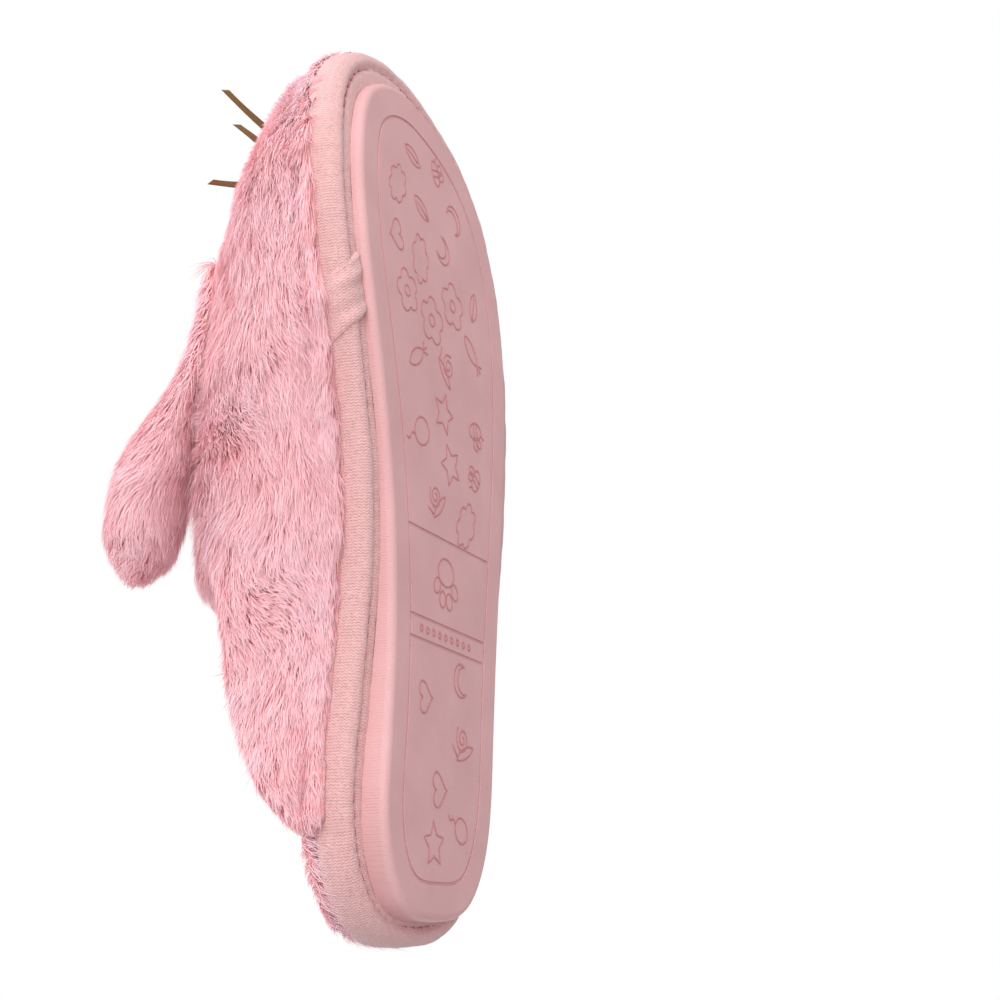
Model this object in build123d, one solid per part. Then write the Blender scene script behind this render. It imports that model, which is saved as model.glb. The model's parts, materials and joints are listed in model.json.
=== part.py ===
from build123d import *
import math
import os

# Plush bunny house slipper, left foot, open heel. Millimetres.
# +Z is up, the toe points to -Y, the big-toe (medial) side is -X.
# The origin is on the flat underside of the sole, below the middle of its length.

# --- driving dimensions -------------------------------------------------------------------
TOE_SPRING = 8.0          # how far the toe tip curls up from the ground
FLEX_Y = -20.0            # where the flat part of the sole ends
TOE_Y = -135.0
OUTSOLE_TOE = 3.5         # outsole thickness at the forefoot
OUTSOLE_HEEL = 7.5        # outsole thickness under the heel
OUTSOLE_INSET = 9.0       # the outsole stands this far inside the platform's rim
OUTSOLE_SHIFT = 2.0       # and sits this far towards the heel
OUTSOLE_ROUND = 2.2
GROOVE_INSET = 10.0       # engraved border, measured from the outsole's edge
GROOVE_WIDTH = 1.0
GROOVE_DEPTH = 0.5
PANEL_LINES = (16.0, 42.0, 48.5)    # engraved lines across the waist

PLATFORM = 12.0           # height of the fabric-wrapped platform
PLATFORM_ROUND = 5.0
BINDING = 1.5             # binding fabric with its thin backing
BOARD = 1.5
TOP_WINDOW = 12.0         # how far the binding turns in over the platform
BOTTOM_WINDOW = 20.0      # and under it
FOOTBED = 3.0
SOCK = 2.6
LAP_FROM, LAP_TO = -49.0, -31.0     # overlapped ends of the binding, medial side
LAP = 0.9

PLUSH = 7.0               # fur fabric with its pressed pile
PADDING = 3.0
LINING = 1.5
UPPER_OVERHANG = 6.0      # the fur hangs this far down over the platform's edge

EAR_HINGE_Y = -70.0
EAR_SPREAD = 22.0         # hinge to the slipper's own centre line
EAR_LIFT = 3.0            # hinge above the fur
EAR_SLOPE = 15.0          # degrees above level at rest
EAR_ROLL = 22.0           # degrees, each ear leans to its own side
EAR_PLUSH = 3.0
EAR_CLEARANCE = 0.6

EYE_R = 5.5
EYE_Y = -88.0
EYE_SPREAD = 17.0
SHANK_R = 1.5
SHANK_LENGTH = 10.0
WASHER_R = 5.0
WASHER = 1.2
NOSE_Y = -113.0
NOSE_HALF = (6.5, 4.5, 4.0)
WHISKER_WIDTH = 2.2
WHISKER_THICK = 0.6
WHISKER_SUNK = 4.0

REACH = 160.0             # half size of the cutting blocks, beyond the slipper all round

# Rim of the platform in plan, from the toe along the lateral side and back (x, y).
RIM = [
    (-14, -135), (12, -130.5), (36, -116), (51, -90), (56.5, -52), (54.5, -8),
    (49.5, 36), (46, 76), (39.5, 109), (24, 128), (-2, 134), (-28, 129),
    (-41.5, 110), (-42.5, 80), (-40.5, 32), (-46, -10), (-57.5, -60), (-57.5, -98),
    (-46, -122),
]

# Fur upper: station y, medial x, lateral x, top z above the platform's underside.
UPPER_STATIONS = [
    (-133, -30, 2, 15), (-128, -41, 17, 25), (-118, -50, 33, 37), (-98, -59, 49, 50),
    (-70, -61, 57, 61), (-36, -58, 58, 70), (-2, -53, 56, 75), (34, -50, 52, 78),
    (70, -49, 47, 80), (96, -48.5, 46.5, 81), (122, -48, 46, 82),
]
UPPER_POWER = 2.25        # fullness of the arched sections, 2 is an ellipse

# Side view of the upper's edge, from the throat down to the wing ends (y, z).
TOPLINE = [(-24, 112), (-17, 86), (-2, 72), (28, 57), (58, 51), (84, 42.5), (100, 27), (107, 4)]

# One ear, from its hinge to its tip: distance, half width, half thickness, and how far
# its middle lies above the straight line along which it slopes.
EAR_STATIONS = [
    (-3, 3, 1.6, 0.2), (2, 7.5, 3, -0.8), (12, 10, 3.6, -3.4), (25, 12, 4.2, -4.8),
    (38, 14, 5.6, -5.2), (52, 16, 8.4, -4), (67, 17.3, 10.8, -2.2), (80, 17, 11.4, -2.2),
    (91, 14.5, 10, -3.2), (97.5, 9.5, 7, -4), (101, 4, 3, -4.4),
]


# --- helpers ------------------------------------------------------------------------------
def toe_rise(y):
    """Height of the sole's underside at y: flat, then a tangent arc up to the toe."""
    run = FLEX_Y - TOE_Y
    radius = (run**2 + TOE_SPRING**2) / (2 * TOE_SPRING)
    ahead = max(0.0, FLEX_Y - y)
    return radius - math.sqrt(radius**2 - ahead**2)


def platform_line(y):
    """Height of the platform's underside: it climbs over the thicker heel."""
    share = min(1.0, max(0.0, (y - 0.0) / 95.0))
    smooth = share * share * (3 - 2 * share)
    return toe_rise(y) + OUTSOLE_TOE + (OUTSOLE_HEEL - OUTSOLE_TOE) * smooth


def side_curve(height_at, lift):
    """A smooth side-view curve through a few heights, from heel to toe."""
    stations = [REACH, 110, 85, 50, 15, FLEX_Y, -60, -100, -130, -REACH]
    return Spline([(y, height_at(y) + lift) for y in stations])


def band(height_at, low, high):
    """Everything between two heights above a side-view curve."""
    lower = side_curve(height_at, low)
    upper = side_curve(height_at, high)
    ends = [Line(lower @ 0, upper @ 0), Line(lower @ 1, upper @ 1)]
    profile = make_face(Plane.YZ * Curve([lower, upper] + ends))
    return extrude(profile, REACH, both=True)


def rim_points(inset, shift=0.0):
    """The rim's points moved inwards along their normals."""
    moved = []
    count = len(RIM)
    for i, (x, y) in enumerate(RIM):
        ahead = RIM[(i + 1) % count]
        behind = RIM[i - 1]
        along = Vector(ahead[0] - behind[0], ahead[1] - behind[1]).normalized()
        moved.append((x - along.Y * inset, y + along.X * inset + shift))
    return moved


def rim_curve(inset, shift=0.0):
    return Spline(rim_points(inset, shift), periodic=True)


def prism(inset, shift=0.0):
    face = make_face(rim_curve(inset, shift))
    return extrude(Pos(0, 0, -20) * face, 180)


def layer(inset, low, high, height_at=platform_line, shift=0.0):
    return prism(inset, shift) & band(height_at, low, high)


def edge_loops(solid, near):
    """Edges whose height over the given side-view curve is about zero."""
    return [e for e in solid.edges() if all(abs(p.Z - near(p.Y)) < 0.3 for p in (e @ 0.2, e @ 0.5, e @ 0.8))]


def rounded(solid, radius, *curves):
    edges = [e for curve in curves for e in edge_loops(solid, curve)]
    return fillet(edges, radius)


def block(y0, y1):
    return Pos(0, (y0 + y1) / 2, 0) * Box(2 * REACH, y1 - y0, 2 * REACH)


# --- sole and platform --------------------------------------------------------------------
def above_ground():
    """Everything over the sole's underside, which is plane from the heel to the ball."""
    toe = (-REACH, toe_rise(-REACH))
    flat = Line((REACH, 0), (FLEX_Y, 0))
    curl = ThreePointArc((FLEX_Y, 0), (TOE_Y, toe_rise(TOE_Y)), toe)
    over = Polyline(toe, (-REACH, 40), (REACH, 40), (REACH, 0))
    return extrude(make_face(Plane.YZ * Curve([flat, curl, over])), REACH, both=True)


def make_outsole():
    inset = OUTSOLE_INSET
    body = prism(inset, OUTSOLE_SHIFT) & above_ground()
    body -= band(platform_line, 0, 60)
    lower_edges = [e for e in edge_loops(body, toe_rise) if abs((e @ 0.5).Y - FLEX_Y) > 1]
    return fillet(lower_edges, OUTSOLE_ROUND) - make_groove(inset)


def make_groove(inset):
    """Engraved border line and the lines across the waist, in the underside."""
    skin = band(toe_rise, -2, GROOVE_DEPTH)
    outer = prism(inset + GROOVE_INSET, OUTSOLE_SHIFT)
    inner = prism(inset + GROOVE_INSET + GROOVE_WIDTH, OUTSOLE_SHIFT)
    lines = [Pos(0, y, 0) * Box(REACH, GROOVE_WIDTH, 60) for y in PANEL_LINES]
    across = Part() + [inner & line for line in lines]
    return ((outer - inner) & skin) + (across & skin)


def make_slab(grow=0.0):
    """Outside of the wrapped platform, with rounded edges."""
    slab = layer(-grow, -grow, PLATFORM + grow)
    return rounded(
        slab, PLATFORM_ROUND + grow * 0.8,
        lambda y: platform_line(y) - grow, lambda y: platform_line(y) + PLATFORM + grow,
    )


def make_core():
    core = layer(BINDING, BINDING, PLATFORM - BINDING)
    return rounded(
        core, PLATFORM_ROUND - BINDING,
        lambda y: platform_line(y) + BINDING, lambda y: platform_line(y) + PLATFORM - BINDING,
    )


def make_platform_parts():
    slab = make_slab()
    core = make_core()
    board_top = BINDING + BOARD
    under = layer(BOTTOM_WINDOW, 0, BINDING)
    over = layer(TOP_WINDOW, PLATFORM - BINDING, PLATFORM + FOOTBED)
    return slab, {
        "insole_board": (core & band(platform_line, -2, board_top)) + under,
        "platform_foam": core & band(platform_line, board_top, PLATFORM + 2),
        "binding_strip": slab - core - under - over,
        "footbed_foam": over,
    }


def largest(solids):
    return max(solids, key=lambda piece: piece.volume)


def make_sock(footbed, upper_wall):
    """Plush sock over the footbed inside the upper, with a soft edge at the open heel."""
    top = PLATFORM + FOOTBED + SOCK
    sock = layer(3.5, PLATFORM, top)
    sock = rounded(sock, SOCK, lambda y: platform_line(y) + top)
    return largest((sock - footbed - upper_wall).solids())


def make_lap(slab, outsole, upper, footbed, sock):
    """The binding's folded end, lying over its beginning."""
    lap = (make_slab(LAP) - slab) & block(LAP_FROM, LAP_TO)
    lap &= Pos(-REACH, 0, 0) * Box(2 * REACH - 40, 2 * REACH, 2 * REACH)
    return largest((lap - outsole - upper - footbed - sock).solids())


# --- upper --------------------------------------------------------------------------------
def upper_section(station, thickness):
    """Arched section at one station, drawn inside the fur by the given thickness.

    An inner section reaches below the outer one and further back, so that their ends
    never share a face.
    """
    y, medial, lateral, top = station
    forward = min(1.0, max(0.0, (-50 - y) / 84))
    behind = 1.0 if y > 110 else 0.0
    at = y + thickness * (forward + behind)
    drop = 0.4 * thickness
    middle = (medial + lateral) / 2
    half = (lateral - medial) / 2 - thickness
    height = top + drop - thickness * (1 - 0.15 * forward)
    base = platform_line(y) - drop
    points = []
    for i in range(9):
        turn = math.pi * i / 8
        c, s = math.cos(turn), math.sin(turn)
        x = middle + half * math.copysign(abs(c) ** (2 / UPPER_POWER), c)
        points.append((x, base + height * abs(s) ** (2 / UPPER_POWER)))
    arch = Spline(points)
    plane = Plane(origin=(0, at, 0), x_dir=(1, 0, 0), z_dir=(0, -1, 0))
    return plane * make_face(Curve([arch, Line(arch @ 1, arch @ 0)]))


def upper_form(thickness):
    """Solid form of the upper, closed all round, before the throat is cut."""
    sections = [upper_section(s, thickness) for s in UPPER_STATIONS]
    return loft(sections)


def throat_cutter():
    """Everything above the topline, seen from the side."""
    edge = Spline(TOPLINE)
    corners = [edge @ 1, (REACH, 4), (REACH, 140), (-24, 140), edge @ 0]
    face = make_face(Plane.YZ * Curve([edge, Polyline(corners)]))
    return extrude(face, REACH, both=True)


def surface_height(x, y, thickness=0.0):
    """Height of the upper's outside at a point in plan, between two stations."""
    for near, far in zip(UPPER_STATIONS, UPPER_STATIONS[1:]):
        if near[0] <= y <= far[0]:
            share = (y - near[0]) / (far[0] - near[0])
            mixed = [a + (b - a) * share for a, b in zip(near, far)]
    middle = (mixed[1] + mixed[2]) / 2
    half = (mixed[2] - mixed[1]) / 2 - thickness
    across = min(1.0, abs(x - middle) / half)
    rise = (1 - across**UPPER_POWER) ** (1 / UPPER_POWER)
    return platform_line(y) + (mixed[3] - thickness) * rise


def make_upper_parts(slab):
    steps = [0, PLUSH, PLUSH + PADDING, PLUSH + PADDING + LINING]
    forms = [upper_form(step) for step in steps]
    keep = band(platform_line, PLATFORM - UPPER_OVERHANG, REACH) - slab - throat_cutter()
    names = ["upper_plush", "upper_padding", "upper_lining"]
    layers = {}
    for name, outer, inner in zip(names, forms, forms[1:]):
        layers[name] = (outer - inner) & keep
    return layers, (forms[0] - forms[3]) & keep


# --- face ---------------------------------------------------------------------------------
def on_upper(x, y, sink=0.0):
    """Plane on the upper's outside, its Z pointing away from the foot."""
    step = 2.0
    dx = (surface_height(x + step, y) - surface_height(x - step, y)) / (2 * step)
    dy = (surface_height(x, y + step) - surface_height(x, y - step)) / (2 * step)
    outward = Vector(-dx, -dy, 1).normalized()
    origin = Vector(x, y, surface_height(x, y)) - outward * sink
    return Plane(origin=origin, x_dir=(1, 0, dx), z_dir=outward)


def make_eye(x):
    """Domed safety eye with its shank, and the washer that locks it."""
    seat = on_upper(x, EYE_Y, 2.0)
    dome = Sphere(EYE_R) & Pos(0, 0, EYE_R) * Box(20, 20, 2 * EYE_R)
    shank = Pos(0, 0, -SHANK_LENGTH / 2) * Cylinder(SHANK_R, SHANK_LENGTH)
    washer = Cylinder(WASHER_R, WASHER) - Cylinder(SHANK_R, 3 * WASHER)
    return seat * (dome + shank), seat * Pos(0, 0, -PLUSH) * washer


def make_nose(middle):
    seat = on_upper(middle, NOSE_Y, 1.5)
    return seat * scale(Sphere(1), by=NOSE_HALF)


# Whisker roots and tips on the medial side: offset from the middle, y, and the tip's
# offset, y and height above the root. The lateral side mirrors them.
WHISKERS = {
    "front": ((9, -112), (25, -130), 13),
    "middle": ((10, -107), (20, -120), 9),
    "rear": ((11, -101), (22, -101), 13.5),
}


def make_whisker(middle, side, root, tip, rise):
    """Flat strip with a slanted end, sewn into the fur at its root."""
    start = Vector(middle + side * root[0], root[1], 0)
    start.Z = surface_height(start.X, start.Y) - WHISKER_SUNK
    end = Vector(middle + side * tip[0], tip[1], start.Z + rise + WHISKER_SUNK)
    along = end - start
    strip = Pos(0, 0, along.length / 2) * Box(WHISKER_WIDTH, WHISKER_THICK, along.length)
    cut = Pos(0, 0, along.length) * Rot(0, 35, 0) * Pos(0, 0, 4) * Box(12, 4, 8)
    return Plane(origin=start, x_dir=(0, 1, 0), z_dir=along) * (strip - cut)


# --- ears ---------------------------------------------------------------------------------
def ear_place(middle, side):
    """Where an ear's hinge is and how the ear lies at rest."""
    x = middle + side * EAR_SPREAD
    z = surface_height(x, EAR_HINGE_Y) + EAR_LIFT
    return Pos(x, EAR_HINGE_Y, z) * Rot(0, side * EAR_ROLL, 0) * Rot(EAR_SLOPE, 0, 0)


def grown(half, grow):
    """A half size made larger, or smaller but never by more than about half."""
    return half + max(grow, -0.55 * half)


def ear_form(grow):
    """Lobe of an ear: thin where it is sewn on, thick and blunt at its tip."""
    first, last = EAR_STATIONS[0][0], EAR_STATIONS[-1][0]
    sections = []
    for y, half_width, half_thick, middle in EAR_STATIONS:
        share = (y - first) / (last - first)
        plane = Plane(
            origin=(0, y + grow * (2 * share - 1), middle), x_dir=(1, 0, 0), z_dir=(0, -1, 0),
        )
        sections.append(plane * Ellipse(grown(half_width, grow), grown(half_thick, grow)))
    return loft(sections)


def ear_front_side():
    """Everything on the front side of the ear's curved middle."""
    middle = Spline([(y, z) for y, _, _, z in EAR_STATIONS])
    corners = [
        middle @ 1, (REACH, EAR_STATIONS[-1][3]), (REACH, REACH),
        (-REACH, REACH), (-REACH, EAR_STATIONS[0][3]), middle @ 0,
    ]
    face = make_face(Plane.YZ * Curve([middle, Polyline(corners)]))
    return extrude(face, REACH, both=True)


def make_ear(place):
    """Two plush panels sewn round a thin filling."""
    filling = ear_form(-EAR_PLUSH)
    plush = ear_form(0) - filling
    front = ear_front_side()
    return {"front": place * (plush & front), "back": place * (plush - front), "filling": place * filling}


# --- assembly -----------------------------------------------------------------------------
def build():
    slab, parts = make_platform_parts()
    parts["outsole"] = make_outsole()
    upper, upper_wall = make_upper_parts(slab)
    parts["sock_lining"] = make_sock(parts["footbed_foam"], upper_wall)
    parts["footbed_foam"] = largest((parts["footbed_foam"] - upper_wall).solids())

    face_middle = (UPPER_STATIONS[3][1] + UPPER_STATIONS[3][2]) / 2
    trim = {"nose": make_nose(face_middle)}
    for side, word in ((-1, "medial"), (1, "lateral")):
        eye, washer = make_eye(face_middle + side * EYE_SPREAD)
        trim[f"eye_{word}"] = eye
        trim[f"eye_washer_{word}"] = washer
        for row, (root, tip, rise) in WHISKERS.items():
            trim[f"whisker_{word}_{row}"] = make_whisker(face_middle, side, root, tip, rise)
        place = ear_place(face_middle, side)
        print(word, "ear hinge", place.position, "axis", (place * Pos(1, 0, 0)).position - place.position)
        for name, panel in make_ear(place).items():
            parts[f"ear_{word}_{name}"] = panel
        upper["upper_plush"] -= place * ear_form(EAR_CLEARANCE)

    for piece in trim.values():
        for name in upper:
            upper[name] -= piece
    parts.update(upper)
    parts.update(trim)
    inner = parts["footbed_foam"], parts["sock_lining"]
    parts["binding_lap"] = make_lap(slab, parts["outsole"], upper_wall, *inner)
    return parts


os.makedirs("parts", exist_ok=True)
for node, shape in build().items():
    export_step(shape, f"parts/{node}.step")
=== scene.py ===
import json
import math
import bpy
import numpy as np
from mathutils import Matrix, Vector, kdtree


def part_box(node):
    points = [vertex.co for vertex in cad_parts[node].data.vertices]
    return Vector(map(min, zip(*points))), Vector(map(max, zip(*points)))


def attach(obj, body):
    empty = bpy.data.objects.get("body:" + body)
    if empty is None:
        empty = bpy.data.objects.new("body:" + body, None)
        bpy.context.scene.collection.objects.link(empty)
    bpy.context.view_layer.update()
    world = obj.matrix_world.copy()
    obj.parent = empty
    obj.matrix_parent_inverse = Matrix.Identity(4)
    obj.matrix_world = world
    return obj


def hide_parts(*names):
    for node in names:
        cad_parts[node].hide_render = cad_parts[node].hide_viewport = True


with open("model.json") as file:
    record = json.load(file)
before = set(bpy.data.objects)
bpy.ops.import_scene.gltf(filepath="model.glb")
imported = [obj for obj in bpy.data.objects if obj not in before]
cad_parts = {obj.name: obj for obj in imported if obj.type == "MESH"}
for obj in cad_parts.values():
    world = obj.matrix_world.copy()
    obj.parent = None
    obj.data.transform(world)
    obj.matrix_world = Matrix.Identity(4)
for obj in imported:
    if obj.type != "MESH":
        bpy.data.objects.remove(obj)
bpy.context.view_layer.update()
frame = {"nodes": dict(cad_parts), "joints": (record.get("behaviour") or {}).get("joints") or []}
MM = 0.001

# --- design sizes, in millimetres, the same as the CAD model's ------------------------------
FLEX_Y, TOE_Y, TOE_SPRING = -20.0, -135.0, 8.0
OUTSOLE_TOE, OUTSOLE_HEEL = 3.5, 7.5
GROOVE_INSET = 19.0
PLATFORM = 12.0
PLATFORM_ROUND = 5.0
STITCH_INSET = 5.6
STITCH_PITCH = 5.0
LAP_FROM, LAP_TO = -49.0, -31.0
EAR_SLOPE = math.radians(15.0)
EAR_STATIONS = [          # from hinge to tip: distance, half width, half thickness, middle
    (-3, 3, 1.6, 0.2), (2, 7.5, 3, -0.8), (12, 10, 3.6, -3.4), (25, 12, 4.2, -4.8),
    (38, 14, 5.6, -5.2), (52, 16, 8.4, -4), (67, 17.3, 10.8, -2.2), (80, 17, 11.4, -2.2),
    (91, 14.5, 10, -3.2), (97.5, 9.5, 7, -4), (101, 4, 3, -4.4),
]
RIM = [
    (-14, -135), (12, -130.5), (36, -116), (51, -90), (56.5, -52), (54.5, -8),
    (49.5, 36), (46, 76), (39.5, 109), (24, 128), (-2, 134), (-28, 129),
    (-41.5, 110), (-42.5, 80), (-40.5, 32), (-46, -10), (-57.5, -60), (-57.5, -98),
    (-46, -122),
]

# --- looks ---------------------------------------------------------------------------------
PILE = 12.0               # length of the fur on the upper
EAR_PILE = 10.5
SOCK_PILE = 4.2
STRAND = 0.15             # half width of a strand at its root
UPPER_STRANDS = 130000
EAR_STRANDS = 24000
SOCK_STRANDS = 22000
STRANDS_PER_PIECE = 12000
PELT_SUNK = 3.8           # the fur's backing lies this far inside the CAD solid
MOTIF_TRIES = 6000
MOTIF_APART = 15.5        # least distance between two pictures of the tread
MOTIF_MARGIN = 9.0        # and from a picture to the engraved border
WAIST_FROM, WAIST_TO = 9.0, 55.0    # the tread has only the paw and the dots between these
STRAND_STEPS = (0.0, 0.36, 0.7, 1.0)    # shares of a strand's length at its rings and tip
STRAND_TAPER = (1.0, 0.95, 0.62)        # and its width at each ring
TUFTS = ((9.0, 0.2), (2.8, 0.28))       # size and pull of the tufts
SOCK_TUFTS = ((5.0, 0.3), (2.0, 0.45))
WRAP_FLAT = 8.0          # reach of the edge wrap inwards of its rounded edge
AXIS_FRONT = Vector((-5, -85, 24))
AXIS_BACK = Vector((-1, 112, 24))

FUR_GLOW = 0.02           # stands for light that filters through the pile
PALE_TIP = (0.955, 0.76, 0.805)
PINK_TIP = (0.945, 0.64, 0.69)
PINK_MID = (0.94, 0.56, 0.60)
PINK_ROOT = (0.935, 0.41, 0.425)
CORAL_TIP = (0.94, 0.49, 0.51)
CORAL_ROOT = (0.91, 0.31, 0.305)

CAMERA_AT = (-0.5167, 0.1644, -0.2496)
CAMERA_TURN = (-163.9, 65.85, 0.5)
CAMERA_LENS = 72.0
LAMPS = (                 # name, place in metres, size and power
    ("key", (-1.1, -0.1, -0.35), 0.9, 7.5), ("toe", (-0.55, -1.1, -0.15), 0.8, 6),
    ("top", (-0.5, -0.3, 1.4), 1.0, 12), ("side", (1.2, 0.4, 0.7), 1.0, 7),
)


# --- small helpers -------------------------------------------------------------------------
def smoothstep(low, high, value):
    share = np.clip((np.asarray(value, float) - low) / (high - low), 0, 1)
    return share * share * (3 - 2 * share)


def unit(vectors):
    return vectors / np.maximum(np.linalg.norm(vectors, axis=-1, keepdims=True), 1e-12)


def across(vectors, normals):
    """The part of each vector that lies along the surface."""
    return vectors - normals * np.sum(vectors * normals, axis=1, keepdims=True)


def turned(flow, normals, angle):
    """Directions in the surface, turned about its normals."""
    return unit(np.cos(angle)[:, None] * flow + np.sin(angle)[:, None] * np.cross(normals, flow))


def toe_rise(y):
    run = FLEX_Y - TOE_Y
    radius = (run**2 + TOE_SPRING**2) / (2 * TOE_SPRING)
    ahead = np.clip(FLEX_Y - y, 0, None)
    return radius - np.sqrt(radius**2 - ahead**2)


def platform_line(y):
    return toe_rise(y) + OUTSOLE_TOE + (OUTSOLE_HEEL - OUTSOLE_TOE) * smoothstep(0, 95, y)


class Waves:
    """Smooth seeded noise made of a few plane waves."""

    def __init__(self, seed, size, count=7):
        rng = np.random.default_rng(seed)
        self.k = unit(rng.normal(size=(count, 3))) * 2 * math.pi / size
        self.k *= rng.uniform(0.6, 1.5, size=(count, 1))
        self.phase = rng.uniform(0, 2 * math.pi, count)

    def __call__(self, points):
        return np.sin(points @ self.k.T + self.phase).mean(1) * 1.8


def linked(name, data):
    obj = bpy.data.objects.new(name, data)
    bpy.context.scene.collection.objects.link(obj)
    return obj


def new_object(name, verts, faces):
    """A mesh object from millimetre coordinates."""
    mesh = bpy.data.meshes.new(name)
    mesh.from_pydata((np.asarray(verts) * MM).tolist(), [], faces)
    mesh.update()
    mesh.shade_smooth()
    return linked(name, mesh)


def mesh_arrays(obj):
    """Vertices in millimetres, vertex normals and triangles of an object."""
    mesh = obj.data
    verts = np.zeros(len(mesh.vertices) * 3)
    normals = np.zeros(len(mesh.vertices) * 3)
    mesh.vertices.foreach_get("co", verts)
    mesh.vertices.foreach_get("normal", normals)
    mesh.calc_loop_triangles()
    tris = np.zeros(len(mesh.loop_triangles) * 3, int)
    mesh.loop_triangles.foreach_get("vertices", tris)
    return verts.reshape(-1, 3) / MM, normals.reshape(-1, 3), tris.reshape(-1, 3)


def set_vertices(obj, verts):
    obj.data.vertices.foreach_set("co", (np.asarray(verts) * MM).ravel())
    obj.data.update()


def apply_modifiers(obj):
    depsgraph = bpy.context.evaluated_depsgraph_get()
    mesh = bpy.data.meshes.new_from_object(obj.evaluated_get(depsgraph))
    old = obj.data
    obj.modifiers.clear()
    obj.data = mesh
    bpy.data.meshes.remove(old)
    mesh.shade_smooth()


def soft_copy(name, nodes, voxel, rounds):
    """One remeshed and smoothed copy of some CAD nodes."""
    verts, faces, start = [], [], 0
    for node in nodes:
        v, _, t = mesh_arrays(frame["nodes"][node])
        verts.append(v)
        faces += (t + start).tolist()
        start += len(v)
    obj = new_object(name, np.vstack(verts), faces)
    remesh = obj.modifiers.new("remesh", "REMESH")
    remesh.mode = "VOXEL"
    remesh.voxel_size = voxel * MM
    smooth = obj.modifiers.new("smooth", "SMOOTH")
    smooth.iterations = rounds
    smooth.factor = 0.5
    apply_modifiers(obj)
    return obj


def outward(points, normals):
    """How much a surface faces away from the foot: 1 outside, -1 inside."""
    front, back = np.array(AXIS_FRONT), np.array(AXIS_BACK)
    along = (back - front) / np.linalg.norm(back - front)
    share = np.clip((points - front) @ along, 0, np.linalg.norm(back - front))
    away = unit(points - (front + share[:, None] * along))
    return np.sum(away * normals, axis=1)


# --- materials -----------------------------------------------------------------------------
class Shader:
    """A principled material and a few short ways to feed it."""

    def __init__(self, name, color, roughness, **sockets):
        self.material = bpy.data.materials.new(name)
        self.material.use_nodes = True
        self.nodes = self.material.node_tree.nodes
        self.links = self.material.node_tree.links
        self.surface = self.nodes["Principled BSDF"]
        self.surface.inputs["Base Color"].default_value = (*color, 1)
        self.surface.inputs["Roughness"].default_value = roughness
        for socket, value in sockets.items():
            self.surface.inputs[socket.replace("_", " ")].default_value = value

    def node(self, kind, **settings):
        node = self.nodes.new(kind)
        for key, value in settings.items():
            setattr(node, key, value)
        return node

    def link(self, source, target):
        self.links.new(source, target)

    def place(self, scale=1.0):
        """Object coordinates, in millimetres divided by scale."""
        coordinate = self.node("ShaderNodeTexCoord")
        mapping = self.node("ShaderNodeMapping")
        mapping.inputs["Scale"].default_value = (1000 / scale,) * 3
        self.link(coordinate.outputs["Object"], mapping.inputs["Vector"])
        return mapping.outputs["Vector"]

    def split(self, vector):
        """X and Y of a vector."""
        node = self.node("ShaderNodeSeparateXYZ")
        self.link(vector, node.inputs[0])
        return node.outputs["X"], node.outputs["Y"]

    def uv(self, layer):
        return self.node("ShaderNodeUVMap", uv_map=layer).outputs["UV"]

    def noise(self, size, detail=2.0, roughness=0.5, vector=None):
        node = self.node("ShaderNodeTexNoise")
        node.inputs["Scale"].default_value = 1.0
        node.inputs["Detail"].default_value = detail
        node.inputs["Roughness"].default_value = roughness
        self.link(self.place(size) if vector is None else vector, node.inputs["Vector"])
        return node.outputs["Fac"]

    def ramp(self, factor, *stops):
        node = self.node("ShaderNodeValToRGB")
        elements = node.color_ramp.elements
        while len(elements) < len(stops):
            elements.new(0.5)
        for element, (at, color) in zip(elements, stops):
            element.position = at
            element.color = (*color, 1)
        self.link(factor, node.inputs["Fac"])
        return node.outputs["Color"]

    def mix(self, factor, first, second):
        node = self.node("ShaderNodeMix", data_type="RGBA")
        for number, value in ((0, factor), (6, first), (7, second)):
            if hasattr(value, "links"):
                self.link(value, node.inputs[number])
            else:
                node.inputs[number].default_value = (*value, 1)
        return node.outputs[2]

    def math(self, operation, first, second=0.0):
        node = self.node("ShaderNodeMath", operation=operation)
        for socket, value in zip(node.inputs, (first, second)):
            if hasattr(value, "links"):
                self.link(value, socket)
            else:
                socket.default_value = value
        return node.outputs[0]

    def bump(self, height, distance, strength=1.0):
        node = self.node("ShaderNodeBump")
        node.inputs["Distance"].default_value = distance * MM
        node.inputs["Strength"].default_value = strength
        self.link(height, node.inputs["Height"])
        self.link(node.outputs["Normal"], self.surface.inputs["Normal"])

    def color(self, output):
        self.link(output, self.surface.inputs["Base Color"])

    def roughness(self, output):
        self.link(output, self.surface.inputs["Roughness"])


def fur_material(name, tip, mid, root, coral_tip, coral_root):
    """Strand colour from the strand's tone (U) and the height along it (V)."""
    # The emission is a painted glow on every strand that lifts the fur's shade.
    s = Shader(name, tip, 0.8, Specular_IOR_Level=0.05, Emission_Strength=FUR_GLOW)
    s.surface.inputs["Emission Color"].default_value = (*mid, 1)
    tone, height = s.split(s.uv("OFBake"))
    plain = s.ramp(height, (0.0, root), (0.4, mid), (0.8, tip), (1.0, PALE_TIP))
    coral = s.ramp(height, (0.0, coral_root), (0.5, root), (0.95, coral_tip))
    s.color(s.mix(tone, plain, coral))
    return s.material


def pelt_material():
    s = Shader("pelt", PINK_ROOT, 0.9, Specular_IOR_Level=0.05)
    s.color(s.ramp(s.noise(3.0, 4), (0.3, PINK_ROOT), (0.7, PINK_MID)))
    s.bump(s.noise(0.9, 3), 0.5)
    return s.material


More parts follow.
